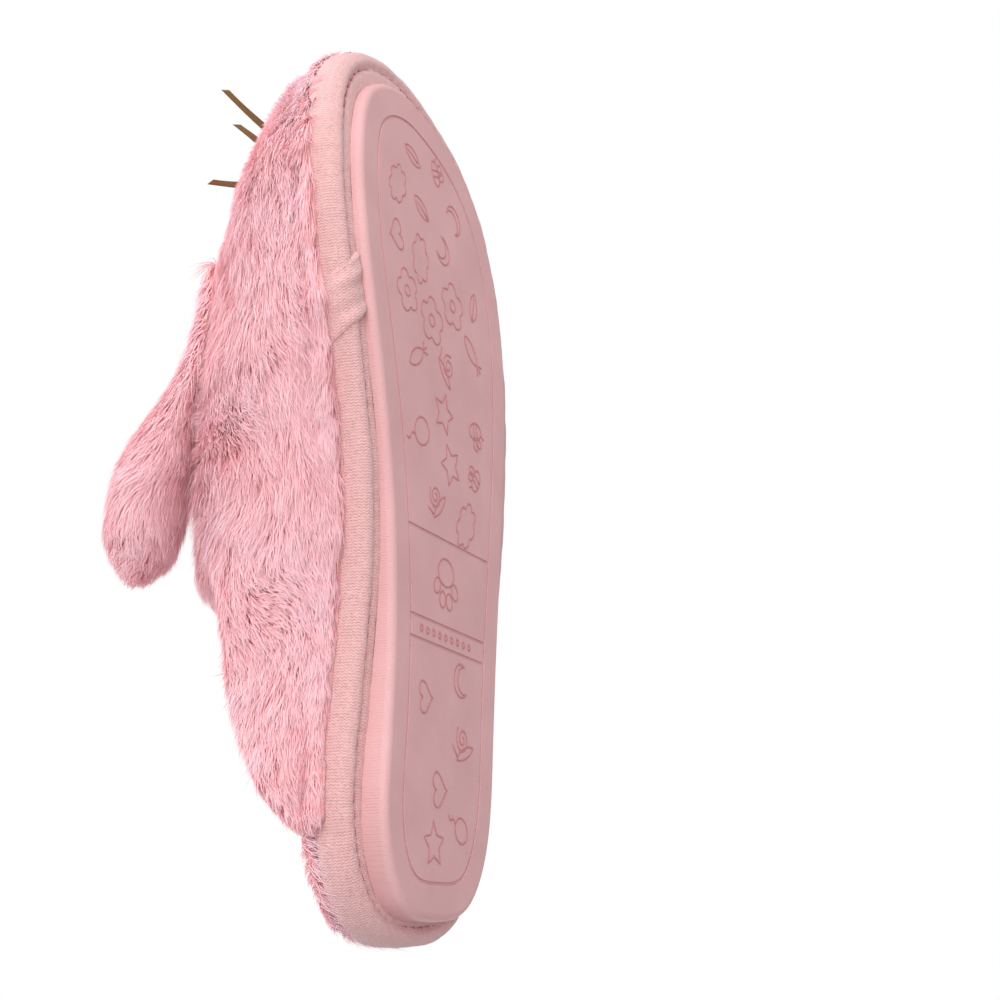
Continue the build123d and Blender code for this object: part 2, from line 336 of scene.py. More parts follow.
def binding_material():
    """Napped cloth with short dark dashes in slanting rows."""
    s = Shader("binding_fabric", (0.93, 0.56, 0.55), 0.85, Sheen_Weight=0.4, Sheen_Roughness=0.5,
               Specular_IOR_Level=0.2)
    lengthwise, crosswise = s.split(s.uv("strip"))
    wander = s.math("MULTIPLY", s.noise(3.0, 3), 5.0)
    along = s.math("ADD", s.math("MULTIPLY", lengthwise, 2 * math.pi / 0.85), wander)
    zigzag = s.math("MULTIPLY", s.math("PINGPONG", crosswise, 0.6), 5.0)
    weave = s.math("MULTIPLY", s.math("SINE", s.math("ADD", along, zigzag)), s.noise(1.3, 2))
    nap = s.noise(0.45, 3, 0.7)
    fuzz = s.noise(8.0, 2)
    height = s.math("ADD", s.math("MULTIPLY", weave, 0.42), nap)
    cloth = s.ramp(
        height, (0.22, (0.60, 0.27, 0.26)), (0.42, (0.82, 0.455, 0.445)), (0.60, (0.91, 0.55, 0.54)))
    s.color(s.mix(s.math("MULTIPLY", fuzz, 0.45), cloth, (0.86, 0.485, 0.485)))
    s.bump(height, 0.35)
    return s.material


def eva_material():
    """Moulded foam rubber with a fine woven grain."""
    s = Shader("outsole_eva", (0.80, 0.44, 0.455), 0.62, Specular_IOR_Level=0.4)
    rows = [s.math("SINE", s.math("MULTIPLY", way, 2 * math.pi / 0.8)) for way in s.split(s.place())]
    grain = s.math("MULTIPLY", *rows)
    fine = s.noise(0.6, 3)
    cloud = s.noise(22.0, 3)
    s.color(s.ramp(cloud, (0.3, (0.72, 0.40, 0.405)), (0.7, (0.79, 0.455, 0.46))))
    s.bump(s.math("ADD", s.math("MULTIPLY", grain, 0.3), fine), 0.12)
    s.roughness(s.math("ADD", s.math("MULTIPLY", cloud, 0.15), 0.55))
    return s.material


def simple_noise_material(name, low, high, size, roughness, bump, **sockets):
    s = Shader(name, high, roughness, **sockets)
    pattern = s.noise(size, 3)
    s.color(s.ramp(pattern, (0.3, low), (0.7, high)))
    s.bump(pattern, bump)
    return s.material


def whisker_material():
    """Golden-brown strip, redder towards its root, with lengthwise fibres."""
    s = Shader("whisker_strip", (0.32, 0.19, 0.05), 0.5, Specular_IOR_Level=0.3)
    uv = s.uv("strip")
    mapping = s.node("ShaderNodeMapping")
    mapping.inputs["Scale"].default_value = (0.25, 6.0, 1.0)
    s.link(uv, mapping.inputs["Vector"])
    fibre = s.noise(1.0, 3, vector=mapping.outputs["Vector"])
    along = s.math("DIVIDE", s.split(uv)[0], 30.0)
    tint = s.ramp(along, (0.1, (0.15, 0.055, 0.03)), (0.9, (0.26, 0.125, 0.012)))
    s.color(s.mix(fibre, tint, (0.11, 0.05, 0.022)))
    s.bump(fibre, 0.08)
    return s.material


# --- fur -----------------------------------------------------------------------------------
def scatter(verts, normals, tris, weight, count, rng):
    """Random points on a surface, more where the weight is higher."""
    a, b, c = verts[tris[:, 0]], verts[tris[:, 1]], verts[tris[:, 2]]
    area = np.linalg.norm(np.cross(b - a, c - a), axis=1) / 2
    chance = area * weight[tris].mean(1)
    pick = rng.choice(len(tris), count, p=chance / chance.sum())
    u, v = rng.random(count), rng.random(count)
    flip = u + v > 1
    u[flip], v[flip] = 1 - u[flip], 1 - v[flip]
    shares = np.stack([1 - u - v, u, v], 1)
    corners = tris[pick]
    points = np.einsum("nk,nkj->nj", shares, verts[corners])
    return points, unit(np.einsum("nk,nkj->nj", shares, normals[corners]))


def nearest(points, centres):
    tree = kdtree.KDTree(len(centres))
    for i, centre in enumerate(centres):
        tree.insert(centre, i)
    tree.balance()
    return np.array([tree.find(p)[1] for p in points])


def strand_paths(roots, normals, flow, length, lean, rng, clumps=TUFTS):
    """Centre lines of the strands: four points each, gathered into tufts."""
    steps = np.array(STRAND_STEPS)
    side = np.cross(flow, normals)
    bend = rng.normal(0, 0.2, len(roots))
    rise = (1.0 - 0.55 * lean)[:, None, None]
    t = steps[None, :, None]
    reach = length[:, None, None]
    lines = roots[:, None, :] + reach * (
        normals[:, None, :] * rise * (t - 0.42 * t**2)
        + flow[:, None, :] * lean[:, None, None] * (0.35 * t + 0.6 * t**2)
        + side[:, None, :] * bend[:, None, None] * t**2
    )
    for size, strength in clumps:
        count = max(8, int(len(roots) / (size * size * 2.4)))
        leaders = rng.choice(len(roots), count, replace=False)
        leader = leaders[nearest(roots, roots[leaders])]
        pull = strength * rng.uniform(0.5, 1.2, len(roots))[:, None, None] * t**1.3
        lines = lines + (lines[leader] - lines) * pull
    return lines


def strand_mesh(name, lines, normals, width, tone, rng, material):
    """Closed tapered strands with a flat side outwards, shaded much like the surface below.
    A tone from 0 to 1 goes from pink to coral, and one below 0 makes a strand paler."""
    count = len(lines)
    along = unit(np.gradient(lines, axis=1))
    tilt = rng.normal(0, 0.3, count)[:, None]
    lift = unit(across(normals, along[:, 1]))
    side = np.cross(lift, along[:, 1])
    lift, side = lift * np.cos(tilt) + side * np.sin(tilt), side * np.cos(tilt) - lift * np.sin(tilt)
    corners = []
    for level, share in enumerate(STRAND_TAPER):
        for a, b in ((1, 0.3), (-1, 0.3), (0, -0.5)):
            ray = side * a + lift * b
            corners.append(lines[:, level] + ray * (width * share)[:, None])
    corners.append(lines[:, 3])
    verts = np.stack(corners, 1).reshape(-1, 3)
    right, left = (unit(normals * 0.7 + lift * 0.6 + side * s) for s in (0.3, -0.3))
    tip = unit(normals * 0.7 + lift * 0.5 + along[:, 3] * 0.25)
    under_left, under_right = (unit(side * s - lift * 0.78) for s in (-0.62, 0.62))
    pattern = []
    shade = []
    for level in (0, 3):
        for k, facing in enumerate(((right, left, left, right), (under_left,) * 4, (under_right,) * 4)):
            j = (k + 1) % 3
            pattern.append((level + k, level + j, level + 3 + j, level + 3 + k))
            shade += facing
    quads = np.array(pattern)
    caps = np.array([(6, 7, 9), (7, 8, 9), (8, 6, 9), (2, 1, 0)])
    ends = [right, left, tip] + [under_left] * 3 + [under_right] * 3 + [-along[:, 0]] * 3
    shade = np.vstack([np.stack(shade, 1).reshape(-1, 3), np.stack(ends, 1).reshape(-1, 3)])
    base = np.arange(count)[:, None, None] * 10
    quad_faces = (base + quads).reshape(-1, 4)
    tri_faces = (base + caps).reshape(-1, 3)
    heights = np.tile(np.repeat(STRAND_STEPS, (3, 3, 3, 1)), count)
    tones = np.repeat(tone, 10)
    corners_of_faces = np.concatenate([quad_faces.ravel(), tri_faces.ravel()])
    sizes = np.concatenate([np.full(len(quad_faces), 4), np.full(len(tri_faces), 3)])
    mesh = bpy.data.meshes.new(name)
    mesh.vertices.add(len(verts))
    mesh.vertices.foreach_set("co", (verts * MM).ravel())
    mesh.loops.add(len(corners_of_faces))
    mesh.loops.foreach_set("vertex_index", corners_of_faces)
    mesh.polygons.add(len(sizes))
    mesh.polygons.foreach_set("loop_start", np.concatenate([[0], np.cumsum(sizes)[:-1]]))
    mesh.update(calc_edges=True)
    mesh.shade_smooth()
    layer = mesh.uv_layers.new(name="OFBake")
    paler = 0.6 * np.clip(-tones, 0, 1)
    uv = np.stack([tones.clip(0.02, 0.98), (heights + paler).clip(0.02, 0.98)], 1)[corners_of_faces]
    layer.uv.foreach_set("vector", uv.ravel())
    mesh.normals_split_custom_set(shade.tolist())
    mesh.materials.append(material)
    return linked(name, mesh)


def fur_pieces(name, lines, normals, width, tone, rng, material, body):
    """Fur split lengthwise of the slipper into pieces of a size that exports whole."""
    order = np.argsort(lines[:, 0, 1])
    parts = math.ceil(len(lines) / STRANDS_PER_PIECE)
    for i, chosen in enumerate(np.array_split(order, parts)):
        label = f"{name}_{i + 1}" if parts > 1 else name
        piece = strand_mesh(
            label, lines[chosen], normals[chosen], width[chosen], tone[chosen], rng, material)
        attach(piece, body)


# --- ear place -----------------------------------------------------------------------------
def ear_matrix(side):
    """The ear's own axes at rest: X across it, Y from hinge to tip, Z out of its front."""
    joint = next(j for j in frame["joints"] if j["child"] == f"ear_{side}")
    axis = Vector(joint["axis"]).normalized()
    lifted = axis.cross(Vector((0, 1, 0)))
    along = Vector((0, 1, 0)) * math.cos(EAR_SLOPE) + lifted * math.sin(EAR_SLOPE)
    front = axis.cross(along)
    matrix = Matrix((axis, along, front)).transposed().to_4x4()
    matrix.translation = Vector(joint["pos_m"]) / MM
    return matrix


def to_ear(points, side):
    matrix = np.array(ear_matrix(side).inverted())
    return points @ matrix[:3, :3].T + matrix[:3, 3]


def from_ear(points, side):
    matrix = np.array(ear_matrix(side))
    return points @ matrix[:3, :3].T + matrix[:3, 3]


def ear_pressure(points):
    """0 where an ear lies on the fur, 1 away from it."""
    table = np.array(EAR_STATIONS, float)
    free = np.ones(len(points))
    for side in ("medial", "lateral"):
        local = to_ear(points, side)
        profile = np.stack([np.interp(local[:, 1], table[:, 0], table[:, k]) for k in (1, 2, 3)], 1)
        rise = (local[:, 2] - profile[:, 2]) / (profile[:, 1] + 3)
        reach = np.hypot(local[:, 0] / profile[:, 0], rise)
        beyond = np.maximum(np.abs(local[:, 1] - 49) - 52, 0) / 4
        free = np.minimum(free, smoothstep(0.9, 1.3, reach + beyond))
    return free


def spot_pressure(points, node, reach):
    low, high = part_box(node)
    centre = np.array((low + high) / 2) / MM
    return smoothstep(reach * 0.55, reach, np.linalg.norm(points - centre, axis=1))


# --- the upper -----------------------------------------------------------------------------
def heelward(points, normals, seed, height):
    """Lie of the fur: along the slipper to its heel, in swirls, and straight near the rim."""
    down = 0.3 * smoothstep(10, 50, np.abs(points[:, 0] + 3)) * smoothstep(4, 16, height)
    flow = np.stack([np.zeros(len(points)), np.ones(len(points)), -down], 1)
    flow = unit(across(flow, normals))
    calm = 0.25 + 0.75 * smoothstep(3, 14, height)
    turn = (0.75 * Waves(seed, 48)(points) + 0.4 * Waves(seed + 1, 15)(points)) * calm
    return turned(flow, normals, turn)


def make_upper():
    pelt = soft_copy("upper_pelt", ["upper_plush", "upper_padding", "upper_lining"], 2.0, 8)
    verts, normals, tris = mesh_arrays(pelt)
    facing = outward(verts, normals)
    sunk = PELT_SUNK * smoothstep(-0.1, 0.5, facing)
    above = verts[:, 2] - platform_line(verts[:, 1]) - 5
    sunk += 2.4 * smoothstep(8, 3, above) * smoothstep(-0.6, -0.1, facing)
    set_vertices(pelt, verts - normals * sunk[:, None])
    pelt.data.materials.append(pelt_material())
    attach(pelt, "slipper")
    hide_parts("upper_plush", "upper_padding")
    make_lining(verts, normals, tris, facing)
    make_upper_fur(pelt)


def make_lining(verts, normals, tris, facing):
    """Inner face of the upper, a thin closed sheet of short fleece."""
    chosen = tris[(facing[tris] < -0.35).all(1)]
    used, faces = np.unique(chosen, return_inverse=True)
    faces = faces.reshape(-1, 3)
    inner = verts[used] + normals[used] * 0.5
    outer = verts[used] - normals[used] * 0.5
    edges = np.concatenate([faces[:, [0, 1]], faces[:, [1, 2]], faces[:, [2, 0]]])
    known = {tuple(e) for e in edges.tolist()}
    rim = [e for e in known if (e[1], e[0]) not in known]
    count = len(used)
    walls = [(b, a, a + count, b + count) for a, b in rim]
    sheet = faces.tolist() + (faces[:, ::-1] + count).tolist() + walls
    lining = new_object("upper_lining_fleece", np.vstack([inner, outer]), sheet)
    lining.data.materials.append(
        simple_noise_material("lining_fleece", (0.66, 0.28, 0.29), (0.88, 0.47, 0.49), 1.1, 0.9, 0.5,
                              Sheen_Weight=0.4))
    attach(lining, "slipper")
    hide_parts("upper_lining")


def make_upper_fur(pelt):
    rng = np.random.default_rng(11)
    verts, normals, tris = mesh_arrays(pelt)
    facing = outward(verts, normals)
    weight = smoothstep(-0.15, 0.25, facing)
    roots, out = scatter(verts, normals, tris, weight, UPPER_STRANDS, rng)
    height = roots[:, 2] - platform_line(roots[:, 1]) - 5
    flow = heelward(roots, out, 21, height)
    patch = Waves(31, 30)(roots)
    matted = smoothstep(0.35, 0.9, Waves(35, 42)(roots)) * smoothstep(6, 16, height)
    loose = matted * rng.normal(0, 0.7, len(roots))
    flow = turned(flow, out, loose)
    length = PILE * (1 + 0.16 * rng.normal(size=len(roots))).clip(0.6, 1.4) * (1 + 0.1 * patch)
    length *= 1 - 0.3 * matted
    ruff = np.exp(-(((roots[:, 1] + 12) / 26) ** 2)) * smoothstep(34, 58, roots[:, 2])
    toe = smoothstep(-85, -120, roots[:, 1])
    length *= 1 - 0.3 * toe
    free = ear_pressure(roots)
    for node, reach in (("eye_medial", 12), ("eye_lateral", 12), ("nose", 11)):
        free = np.minimum(free, spot_pressure(roots, node, reach))
    length *= (0.3 + 0.7 * free) * (1 + 0.3 * ruff)
    length *= 0.5 + 0.5 * smoothstep(0, 14, height)
    length *= 1 - 0.35 * smoothstep(10, 45, roots[:, 1])
    lean = 0.8 - 0.25 * toe - 0.12 * matted - 0.3 * ruff * free + 0.25 * smoothstep(10, 2, height)
    lean = np.clip(lean + 0.1 * rng.normal(size=len(roots)), 0.3, 1.1)
    lines = strand_paths(roots, out, flow, length, lean, rng)
    width = STRAND * rng.uniform(0.75, 1.25, len(roots))
    tone = 0.2 + 0.18 * patch + 0.16 * Waves(33, 9)(roots) + 0.13 * rng.normal(size=len(roots))
    # Strands turn more coral just above the rim: painted shade of the crease where the fur meets the
    # binding.
    # Strands turn paler towards the toe: painted light on the toe's shaded fur.
    tone += 0.3 * matted + 0.12 * smoothstep(3.5, 0.5, height) - 0.65 * toe
    fur_pieces("upper_fur", lines, out, width, tone, rng, FUR, "slipper")


# --- ears ----------------------------------------------------------------------------------
def ear_profile(count):
    """The ear's stations, smoothly filled in."""
    table = np.array(EAR_STATIONS, float)
    share = np.linspace(0, 1, len(table))
    fine = np.linspace(0, 1, count)
    dense = np.stack([np.interp(fine, share, table[:, k]) for k in range(4)], 1)
    for _ in range(6):
        dense[1:-1] = (dense[:-2] + 2 * dense[1:-1] + dense[2:]) / 4
    return dense


def make_ear(side, seed):
    """Stuffed ear: thin where it is sewn on, thick and blunt at its tip."""
    rng = np.random.default_rng(seed)
    around = 44
    profile = ear_profile(60)
    angle = np.linspace(0, 2 * math.pi, around, endpoint=False)
    half_width = np.maximum(profile[:, 1] - 3.2, 0.45 * profile[:, 1])
    half_thick = np.maximum(profile[:, 2] - 2.8, 0.45 * profile[:, 2])
    x = np.outer(half_width, np.cos(angle))
    z = np.outer(half_thick, np.sin(angle)) + profile[:, 3:]
    y = np.broadcast_to(profile[:, :1] * 0.965 + 0.8, x.shape)
    verts = from_ear(np.stack([x, y, z], 2).reshape(-1, 3), side)
    number = np.arange(len(profile) * around).reshape(len(profile), around)
    nxt = np.roll(number, -1, 1)
    quads = np.stack([number[:-1], nxt[:-1], nxt[1:], number[1:]], 2).reshape(-1, 4)
    faces = quads[:, ::-1].tolist() + [number[0].tolist(), number[-1][::-1].tolist()]
    ear = new_object(f"ear_{side}_pelt", verts, faces)
    ear.data.materials.append(FUR_BASE)
    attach(ear, f"ear_{side}")
    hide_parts(f"ear_{side}_back", f"ear_{side}_front", f"ear_{side}_filling")
    make_ear_fur(ear, side, rng)


def make_ear_fur(ear, side, rng):
    verts, normals, tris = mesh_arrays(ear)
    if np.sum(normals * (verts - verts.mean(0)), axis=1).mean() < 0:
        ear.data.flip_normals()
        verts, normals, tris = mesh_arrays(ear)
    roots, out = scatter(verts, normals, tris, np.ones(len(verts)), EAR_STRANDS, rng)
    local = to_ear(roots, side)
    matrix = np.array(ear_matrix(side))[:3, :3]
    tipward = np.tile(matrix @ np.array([0, 1, 0]), (len(roots), 1))
    flow = unit(across(tipward, out) + 1e-4)
    turn = 0.5 * Waves(41, 30)(roots) + 0.3 * Waves(42, 11)(roots)
    flow = turned(flow, out, turn)
    length = EAR_PILE * (1 + 0.16 * rng.normal(size=len(roots))).clip(0.6, 1.4)
    under = smoothstep(0.1, 0.8, -(out @ (matrix @ np.array([0, 0, 1]))))
    resting = under * (1 - smoothstep(45, 75, local[:, 1]))
    length *= 1 - 0.55 * resting
    length *= 1 - 0.3 * smoothstep(80, 98, local[:, 1])
    lean = np.clip(0.85 + 0.12 * rng.normal(size=len(roots)), 0.4, 1.1)
    lean *= 1 - 0.55 * smoothstep(78, 94, local[:, 1])
    lines = strand_paths(roots, out, flow, length, lean, rng)
    width = STRAND * rng.uniform(0.75, 1.25, len(roots))
    tone = 0.2 + 0.18 * Waves(43, 24)(roots) + 0.13 * rng.normal(size=len(roots))
    fur_pieces(f"ear_{side}_fur", lines, out, width, tone, rng, FUR, f"ear_{side}")


# --- platform binding ----------------------------------------------------------------------
def closed_spline(points, count):
    """Smooth closed curve through points: positions, unit tangents and length so far."""
    points = np.asarray(points, float)
    n = len(points)
    chord = np.linalg.norm(np.roll(points, -1, 0) - points, axis=1)
    matrix = np.zeros((n, n))
    right = np.zeros((n, points.shape[1]))
    for i in range(n):
        before, after = chord[i - 1], chord[i]
        matrix[i, i - 1] = after
        matrix[i, i] = 2 * (before + after)
        matrix[i, (i + 1) % n] = before
        slope_after = (points[(i + 1) % n] - points[i]) / after
        slope_before = (points[i] - points[i - 1]) / before
        right[i] = 3 * (before * slope_after + after * slope_before)
    slopes = np.linalg.solve(matrix, right)
    dense = []
    for i in range(n):
        j = (i + 1) % n
        h = chord[i]
        t = np.linspace(0, 1, 60, endpoint=False)[:, None]
        dense.append(
            points[i] * (2 * t**3 - 3 * t**2 + 1) + slopes[i] * h * (t**3 - 2 * t**2 + t)
            + points[j] * (3 * t**2 - 2 * t**3) + slopes[j] * h * (t**3 - t**2))
    dense = np.vstack(dense)
    steps = np.linalg.norm(np.roll(dense, -1, 0) - dense, axis=1)
    run = np.concatenate([[0], np.cumsum(steps)])
    wanted = np.linspace(0, run[-1], count, endpoint=False)
    closed = np.vstack([dense, dense[:1]])
    at = np.stack([np.interp(wanted, run, closed[:, k]) for k in range(points.shape[1])], 1)
    tangent = unit(np.roll(at, -1, 0) - np.roll(at, 1, 0))
    return at, tangent, wanted, run[-1]


def rim_frame(count):
    at, tangent, run, total = closed_spline(RIM, count)
    inward = np.stack([-tangent[:, 1], tangent[:, 0]], 1)
    return at, tangent, inward, run, total


def profile_point(share):
    """Outside of the wrapped edge, from under the outsole (0) over the rim to the top (1).
    Returns the inset from the rim and the height above the platform's underside."""
    r = PLATFORM_ROUND
    flat = WRAP_FLAT
    wall = PLATFORM - 2 * r
    quarter = math.pi * r / 2
    s = share * (2 * flat + 2 * quarter + wall)
    if s < flat:
        return r + flat - s, 0.0
    s -= flat
    if s < quarter:
        a = s / r
        return r - r * math.sin(a), r - r * math.cos(a)
    s -= quarter
    if s < wall:
        return 0.0, r + s
    s -= wall
    if s < quarter:
        a = s / r
        return r - r * math.cos(a), PLATFORM - r + r * math.sin(a)
    s -= quarter
    return r + s, PLATFORM


def thick_sheet(name, outer, inner, uv, closed, material):
    """A closed sheet between two grids of points; closed joins its last row to its first."""
    rows, cols = outer.shape[:2]
    span = rows * cols
    number = np.arange(span).reshape(rows, cols)
    first, second = number[:-1], number[1:]
    if closed:
        first, second = number, np.roll(number, -1, 0)
    a, b = first[:, :-1].ravel(), second[:, :-1].ravel()
    c, d = second[:, 1:].ravel(), first[:, 1:].ravel()
    near, far = (first[:, 0], second[:, 0]), (first[:, -1], second[:, -1])
    faces = [np.stack([a, b, c, d], 1), np.stack([d, c, b, a], 1) + span]
    faces.append(np.stack([near[1], near[0], near[0] + span, near[1] + span], 1))
    faces.append(np.stack([far[0], far[1], far[1] + span, far[0] + span], 1))
    if not closed:
        for edge, flip in ((number[0], False), (number[-1], True)):
            wall = np.stack([edge[:-1], edge[1:], edge[1:] + span, edge[:-1] + span], 1)
            faces.append(wall[:, ::-1] if flip else wall)
    faces = np.vstack(faces)
    verts = np.vstack([outer.reshape(-1, 3), inner.reshape(-1, 3)])
    obj = new_object(name, verts, faces.tolist())
    flat = np.tile(uv.reshape(-1, 2), (2, 1))[faces]
    if closed:
        wrap = np.ptp(flat[:, :, 0], axis=1) > uv[:, 0, 0].max() / 2
        turned = flat[wrap]
        turned[:, :, 0] += (turned[:, :, 0] < uv[:, 0, 0].max() / 2) * uv[:, 0, 0].max()
        flat[wrap] = turned
    layer = obj.data.uv_layers.new(name="strip")
    layer.uv.foreach_set("vector", flat.ravel())
    obj.data.materials.append(material)
    return obj


def edge_profile(shares):
    """Insets, heights and outward directions of the wrapped edge at some shares of its girth."""
    points = np.array([profile_point(share) for share in shares])
    kept = np.array([profile_point(share) for share in np.clip(shares, 0.001, 0.999)])
    step = np.gradient(kept, axis=0)
    outside = unit(np.stack([-step[:, 1], step[:, 0]], 1))
    girth = np.concatenate([[0], np.cumsum(np.linalg.norm(np.diff(points, axis=0), axis=1))])
    return points, outside, girth


def make_binding():
    count, rows = 1300, 48
    at, tangent, inward, run, total = rim_frame(count)
    profile, outside, girth = edge_profile(np.linspace(0, 1, rows))
    stitches = round(total / STITCH_PITCH)
    soft, crumple = Waves(51, 30), Waves(52, 8)
    outer = np.zeros((count, rows, 3))
    inner = np.zeros_like(outer)
    for j in range(rows):
        inset, height = profile[j]
        place = at + inward * inset
        points = np.column_stack([place, platform_line(place[:, 1]) + height])
        out = np.column_stack([inward * outside[j, 0], np.full(count, outside[j, 1])])
        under = 1.0 if height < 3 else 0.0
        groove = under * math.exp(-(((inset - STITCH_INSET) / 0.9) ** 2))
        roll = under * math.exp(-(((inset - 2.4) / 2.0) ** 2))
        pucker = 0.75 + 0.2 * np.cos(2 * math.pi * run / total * stitches)
        rise = 0.3 * soft(points) + 0.14 * crumple(points) - groove * pucker + 0.8 * roll
        outer[:, j] = points + out * rise[:, None]
        inner[:, j] = points - out * 1.2
    uv = np.stack(np.broadcast_arrays(run[:, None], girth[None, :]), 2)
    binding = thick_sheet("binding_wrap", outer, inner, uv, True, BINDING)
    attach(binding, "slipper")
    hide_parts("binding_strip")
    make_lap(at, tangent, run)
    make_stitches(at, tangent, run, total, stitches)


def rim_at(where, at, tangent, run):
    """Places on the rim and the inward directions there, at some distances along it."""
    place = np.stack([np.interp(where, run, at[:, k]) for k in range(2)], 1)
    ahead = unit(np.stack([np.interp(where, run, tangent[:, k]) for k in range(2)], 1))
    return place, np.stack([-ahead[:, 1], ahead[:, 0]], 1)


def make_lap(at, tangent, run):
    """The free end of the edge wrap, folded over its start with a slanting crease."""
    medial = at[:, 0] < -20
    first, last = (np.interp(y, -at[medial, 1], run[medial]) for y in (-LAP_TO, -LAP_FROM))
    profile, outside, girth = edge_profile(np.linspace(0.13, 0.84, 36))
    steps = np.linspace(0, 1, 46)
    outer = np.zeros((len(steps), len(profile), 3))
    inner = np.zeros_like(outer)
    for j, (inset, height) in enumerate(profile):
        share = j / (len(profile) - 1)
        where = first + (last - first) * steps + 16 * (0.5 - share)
        place, inward = rim_at(where, at, tangent, run)
        place = place + inward * inset
        points = np.column_stack([place, platform_line(place[:, 1]) + height])
        out = np.column_stack([inward * outside[j, 0], np.full(len(steps), outside[j, 1])])
        edge = np.minimum(np.minimum(steps, 1 - steps) * 18, min(share, 1 - share) * 22)
        rounded = np.sqrt(np.clip(edge, 0, 1))
        wrinkle = 0.3 * np.sin(steps * 10 + share * 3) + 0.2 * np.sin(steps * 21 - share * 5)
        thin = 1 - 0.75 * smoothstep(0.25, 0.7, share)
        outer[:, j] = points + out * (0.2 + rounded * thin * (1.1 + wrinkle))[:, None]
        inner[:, j] = points - out * 0.5
    uv = np.stack(np.broadcast_arrays(steps[:, None] * (last - first), girth[None, :]), 2)
    lap = thick_sheet("binding_end", outer, inner, uv, False, BINDING)
    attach(lap, "slipper")
    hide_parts("binding_lap")


def tube(points, radius, flat=1.0, up=(0, 0, 1), sides=6, closed=False):
    """Vertices and faces of a round or flattened bead along a line of points."""
    points = np.asarray(points, float)
    if closed:
        along = unit(np.roll(points, -1, 0) - np.roll(points, 1, 0))
    else:
        along = unit(np.gradient(points, axis=0))
    side = unit(np.cross(along, np.broadcast_to(up, along.shape)))
    lift = np.cross(along, side)
    radius = np.broadcast_to(radius, len(points))
    rings = []
    for k in range(sides):
        angle = 2 * math.pi * (k + 0.5) / sides
        ray = side * math.cos(angle) + lift * (math.sin(angle) * flat)
        rings.append(points + ray * radius[:, None])
    verts = np.stack(rings, 1).reshape(-1, 3)
    last = len(points) if closed else len(points) - 1
    faces = []
    for i in range(last):
        k = (i + 1) % len(points)
        for j in range(sides):
            m = (j + 1) % sides
            faces.append((i * sides + j, i * sides + m, k * sides + m, k * sides + j))
    if not closed:
        faces.append(tuple(range(sides))[::-1])
        faces.append(tuple((len(points) - 1) * sides + j for j in range(sides)))
    return verts, faces


def joined(name, pieces, material):
    """One object from several lists of vertices and faces."""
    verts, faces, start = [], [], 0
    for piece_verts, piece_faces in pieces:
        verts.append(piece_verts)
        faces += [tuple(v + start for v in face) for face in piece_faces]
        start += len(piece_verts)
    obj = new_object(name, np.vstack(verts), faces)
    obj.data.materials.append(material)
    return obj


def make_stitches(at, tangent, run, total, count):
    """Thread stitches sunk in the seam groove, with a dark ring of painted shade at the needle's
    puncture between two stitches.
    """
    rng = np.random.default_rng(53)
    threads, hole_shade_rings = [], []
    pitch = total / count
    for i in range(count):
        where = (i + 0.5) * pitch + np.linspace(-0.31, 0.31, 9) * pitch
        place, side = rim_at(where % total, at, tangent, run)
        place = place + side * (STITCH_INSET + rng.normal(0, 0.06))
        arc = np.sin(np.linspace(0, math.pi, 9))
        height = platform_line(place[:, 1]) + 0.85 - 0.35 * arc
        line = np.column_stack([place, height])
        threads.append(tube(line, 0.1 + 0.11 * arc**0.5))
        # A dark ring of painted shade sits a little below each stitch's end, where the needle went
        # through.
        end = line[0] - np.array([0, 0, 0.12])
        ring = end + np.column_stack([circle(0.24, steps=8), np.zeros(8)])
        hole_shade_rings.append(tube(ring, 0.12, sides=5, closed=True))
    thread = joined("seam_thread", threads, THREAD)
    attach(thread, "slipper")
    hole = joined("seam_hole_shade", hole_shade_rings, HOLE_SHADE)
    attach(hole, "slipper")


# --- sole ----------------------------------------------------------------------------------
def polar(radius, angle):
    return np.stack([radius * np.cos(angle), radius * np.sin(angle)], 1)


def circle(radius, x=0.0, y=0.0, stretch=1.0, turn=0.0, steps=22):
    points = polar(radius, np.linspace(0, 2 * math.pi, steps, endpoint=False)) * (1, stretch)
    c, s = math.cos(turn), math.sin(turn)
    return points @ np.array([[c, s], [-s, c]]) + (x, y)


def lobed(radius, lobes, depth):
    angle = np.linspace(0, 2 * math.pi, lobes * 9, endpoint=False)
    wave = radius * (1 - depth + depth * np.abs(np.cos(angle * lobes / 2)) ** 0.6 * 1.6)
    return polar(wave, angle)


def star(radius, points=5):
    angle = np.linspace(0, 2 * math.pi, points * 2, endpoint=False) + math.pi / 2
    reach = np.where(np.arange(points * 2) % 2 == 0, radius, radius * 0.5)
    corners = polar(reach, angle)
    ahead = np.roll(corners, -1, 0) - corners
    return np.stack([corners + ahead * t for t in (0, 0.33, 0.66)], 1).reshape(-1, 2)


def heart(size):
    t = np.linspace(0, 2 * math.pi, 30, endpoint=False)
    y = 13 * np.cos(t) - 5 * np.cos(2 * t) - 2 * np.cos(3 * t) - np.cos(4 * t)
    return np.stack([16 * np.sin(t) ** 3, y], 1) * size / 16


def lens(length, width):
    t = np.linspace(0, 2 * math.pi, 26, endpoint=False)
    return np.stack([length / 2 * np.cos(t), width / 2 * np.sin(t) * np.abs(np.sin(t)) ** 0.6], 1)


def spiral(radius, turns):
    t = np.linspace(0.15, 1, 34)
    return polar(radius * t, t * turns * 2 * math.pi)


def stroke(*corners):
    corners = np.array(corners, float)
    between = [a + (b - a) * t for a, b in zip(corners, corners[1:]) for t in (0, 0.34, 0.67)]
    return np.vstack(between + [corners[-1:]])


def moon(radius):
    a = np.linspace(0.9, 2 * math.pi - 0.9, 22)
    b = np.linspace(2 * math.pi - 1.25, 1.25, 18)
    inner = polar(radius * 0.83, b) + (radius * 0.36, 0)
    return np.vstack([polar(radius, a), inner[1:-1]])


